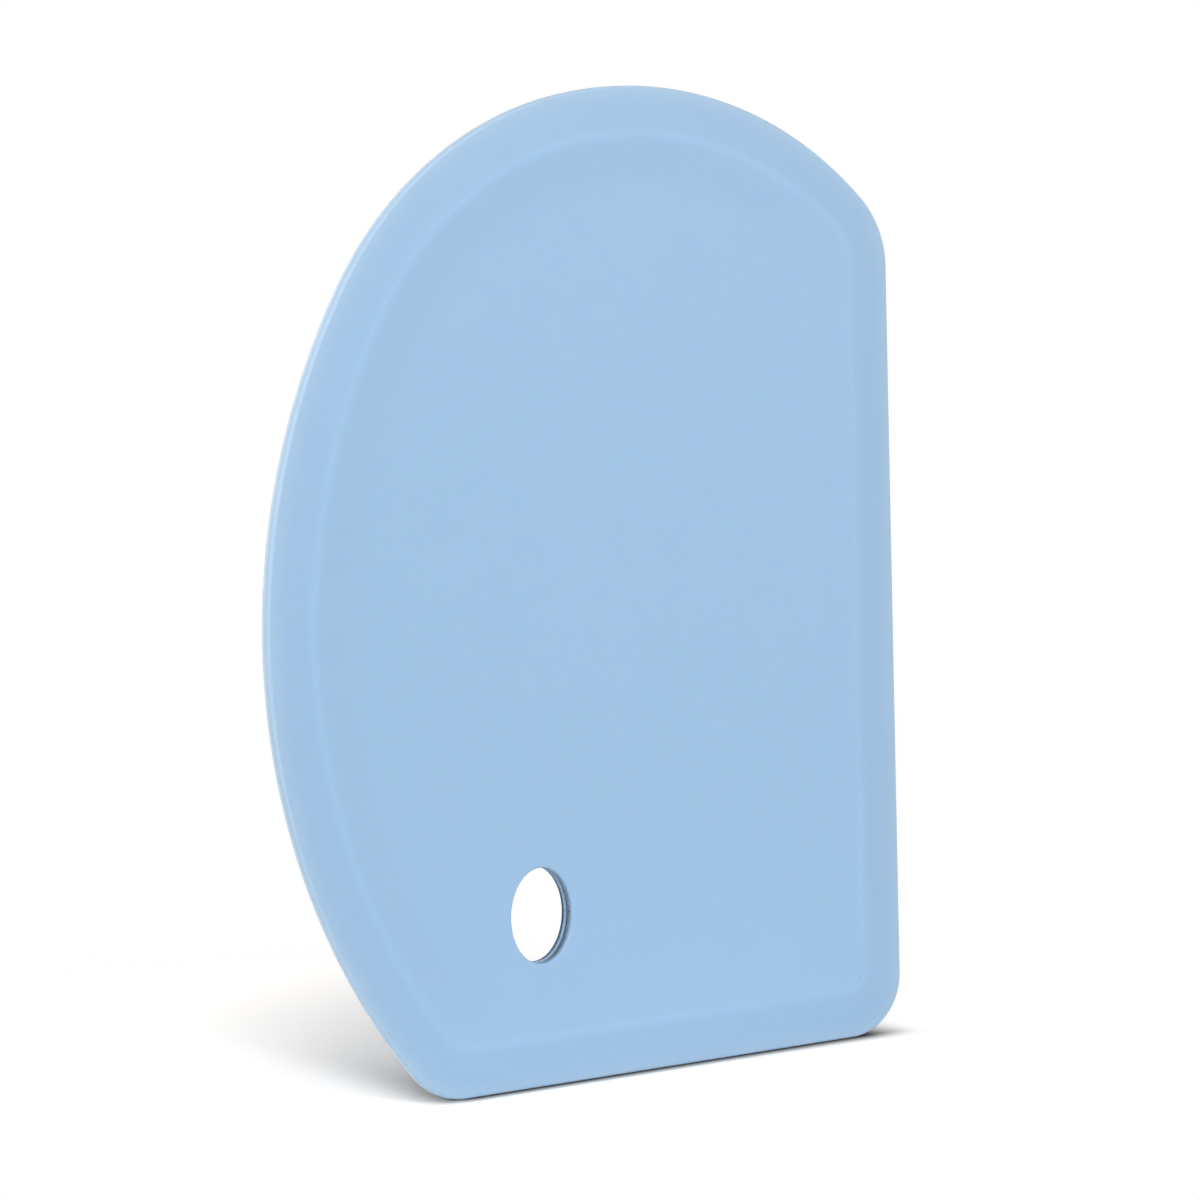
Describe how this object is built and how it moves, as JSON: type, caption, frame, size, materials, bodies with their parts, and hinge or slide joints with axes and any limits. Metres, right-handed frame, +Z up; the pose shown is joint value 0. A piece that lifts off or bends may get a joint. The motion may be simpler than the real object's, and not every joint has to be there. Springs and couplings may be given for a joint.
{
  "type": "bowl scraper",
  "caption": "Flat hand scraper for bowls and dough, with a curved edge, a straight edge, a raised crest round a shallow dish and an oval hanging hole.",
  "frame": {"origin": "middle of the base, at the lowest point of the blade, halfway through its thickness", "axes": "+Z up along the long straight edge, +X across the blade towards the straight edge, front face towards -Y"},
  "size_m": [0.1122, 0.0042, 0.1498],
  "materials": {
    "silicone": "satin",
    "spring_steel": "brushed"
  },
  "bodies": {
    "root": {"silicone_jacket": "silicone", "steel_stiffener": "spring_steel"}
  },
  "joints": []
}
